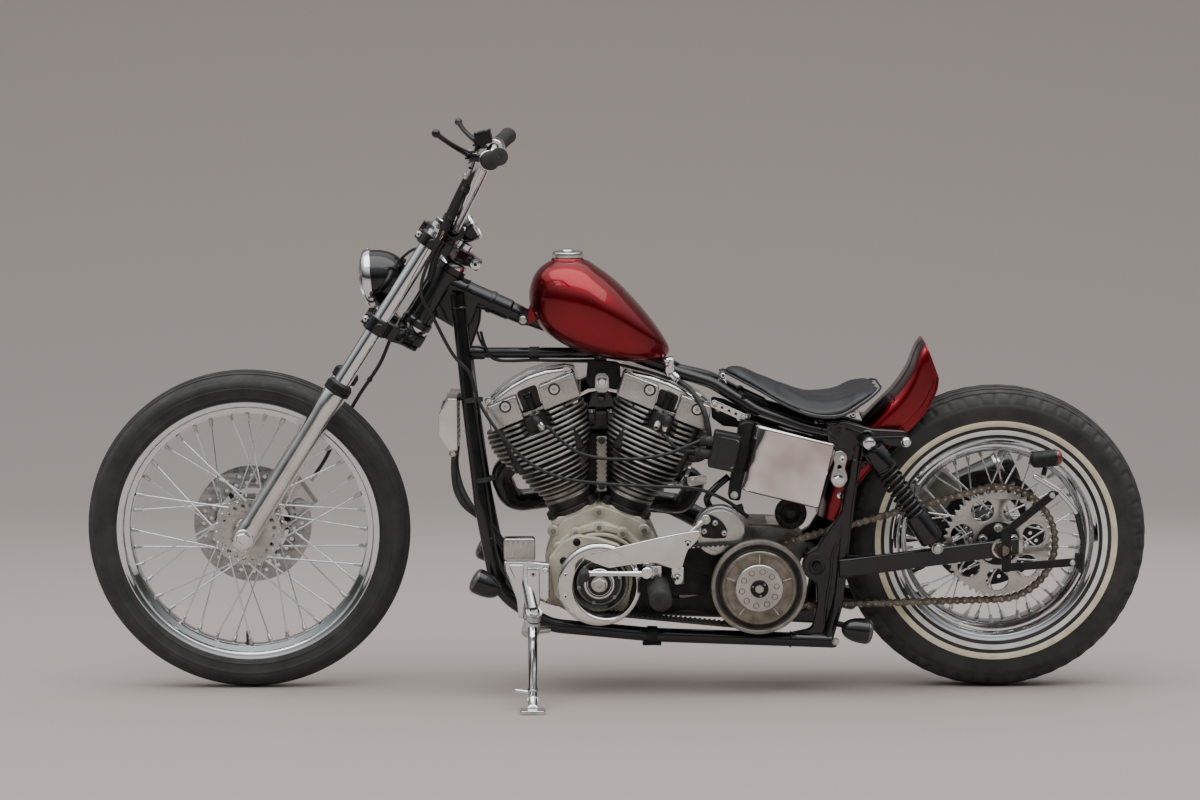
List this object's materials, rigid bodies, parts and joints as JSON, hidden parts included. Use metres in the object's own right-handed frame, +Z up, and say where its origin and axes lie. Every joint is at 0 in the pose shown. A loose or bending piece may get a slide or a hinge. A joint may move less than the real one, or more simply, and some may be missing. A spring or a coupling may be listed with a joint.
{
  "type": "chopper motorcycle",
  "caption": "Low custom motorcycle with a raked fork, tall handlebar, V-twin engine, open belt primary, teardrop tank, sprung-look solo seat and ribbed rear fender, parked on its side stand.",
  "frame": {"origin": "on the floor under the middle of the machine's bounding box", "axes": "+X runs from the front wheel to the rear wheel, +Y to the rider's right, +Z up; the machine leans to -Y on its side stand"},
  "size_m": [2.2593, 0.7267, 1.2313],
  "materials": {
    "front_tyre_rubber": "ribbed black tyre",
    "rear_tyre_rubber": "black tyre with twin white side rings",
    "chrome": "bright chrome",
    "satin_aluminium": "satin aluminium",
    "disc_steel": "ground steel",
    "black_frame": "gloss black paint",
    "candy_red": "deep candy red",
    "black_leather": "black leather, light stitching",
    "black_rubber": "black rubber",
    "cast_engine": "grey cast aluminium",
    "polished_aluminium": "polished aluminium",
    "clutch_bronze": "oxidised bronze-brown steel",
    "exhaust_black": "heat-proof black",
    "chain_steel": "oiled brown-gold steel",
    "lamp_black": "satin black shell"
  },
  "bodies": {
    "chassis": {"frame_spine": "black_frame", "frame_cradles": "black_frame", "frame_rear": "black_frame", "fuel_tank": "candy_red", "fuel_cap": "chrome", "seat": "black_leather", "rear_fender": "candy_red", "crankcase": "cast_engine", "cylinders": "cast_engine", "cylinder_heads": "cast_engine", "rocker_boxes": "polished_aluminium", "pushrod_tubes": "chrome", "carburettor": "polished_aluminium", "gearbox": "cast_engine", "engine_mounts": "cast_engine", "primary_pulley": "polished_aluminium", "clutch": "clutch_bronze", "primary_belt": "black_rubber", "belt_guard": "polished_aluminium", "exhaust": "exhaust_black", "side_box": "chrome", "ignition_coil": "black_frame", "horn": "polished_aluminium", "oil_cooler": "black_frame", "spark_leads": "black_rubber", "foot_controls": "chrome", "swingarm": "black_frame", "rear_axle": "chrome", "shock_absorbers": "black_frame", "drive_chain": "chain_steel", "rear_caliper": "satin_aluminium", "plate_holder": "chrome", "tail_light": "lamp_black", "turn_signals": "lamp_black", "stand_bracket": "chrome", "clutch_cable": "black_rubber"},
    "front_wheel": {"front_tyre": "front_tyre_rubber", "front_rim": "chrome", "front_hub": "satin_aluminium", "front_spokes": "chrome", "front_disc": "disc_steel"},
    "rear_wheel": {"rear_tyre": "rear_tyre_rubber", "rear_rim": "chrome", "rear_hub": "satin_aluminium", "rear_spokes": "chrome", "rear_sprocket": "disc_steel"},
    "steering": {"front_axle": "chrome", "fork_sliders": "satin_aluminium", "fork_tubes": "chrome", "fork_clamps": "black_frame", "front_caliper": "satin_aluminium", "headlight": "chrome", "handlebar": "chrome", "hand_grips": "black_rubber", "hand_levers": "satin_aluminium", "speedometer": "chrome", "brake_hose": "black_rubber"},
    "side_stand": {"side_stand": "chrome"}
  },
  "joints": [
    {"name": "steering_turn", "type": "hinge", "parent": "chassis", "child": "steering", "pos_m": [-0.38453, 0.02519, 0.84229], "axis": [0.5373, -0.0955, 0.838], "range_deg": [-32, 32], "deforming": ["clutch_cable"]},
    {"name": "front_wheel_spin", "type": "hinge", "parent": "steering", "child": "front_wheel", "pos_m": [-0.78575, 0.08216, 0.34229], "axis": [0, 0.9936, 0.1132], "continuous": true},
    {"name": "rear_wheel_spin", "type": "hinge", "parent": "chassis", "child": "rear_wheel", "pos_m": [0.80425, 0.08425, 0.32391], "axis": [0, 0.9936, 0.1132], "continuous": true},
    {"name": "side_stand_fold", "type": "hinge", "parent": "chassis", "child": "side_stand", "pos_m": [-0.17975, -0.06773, 0.15612], "axis": [0.1578, -0.5509, 0.8195], "range_deg": [0, 77]}
  ]
}
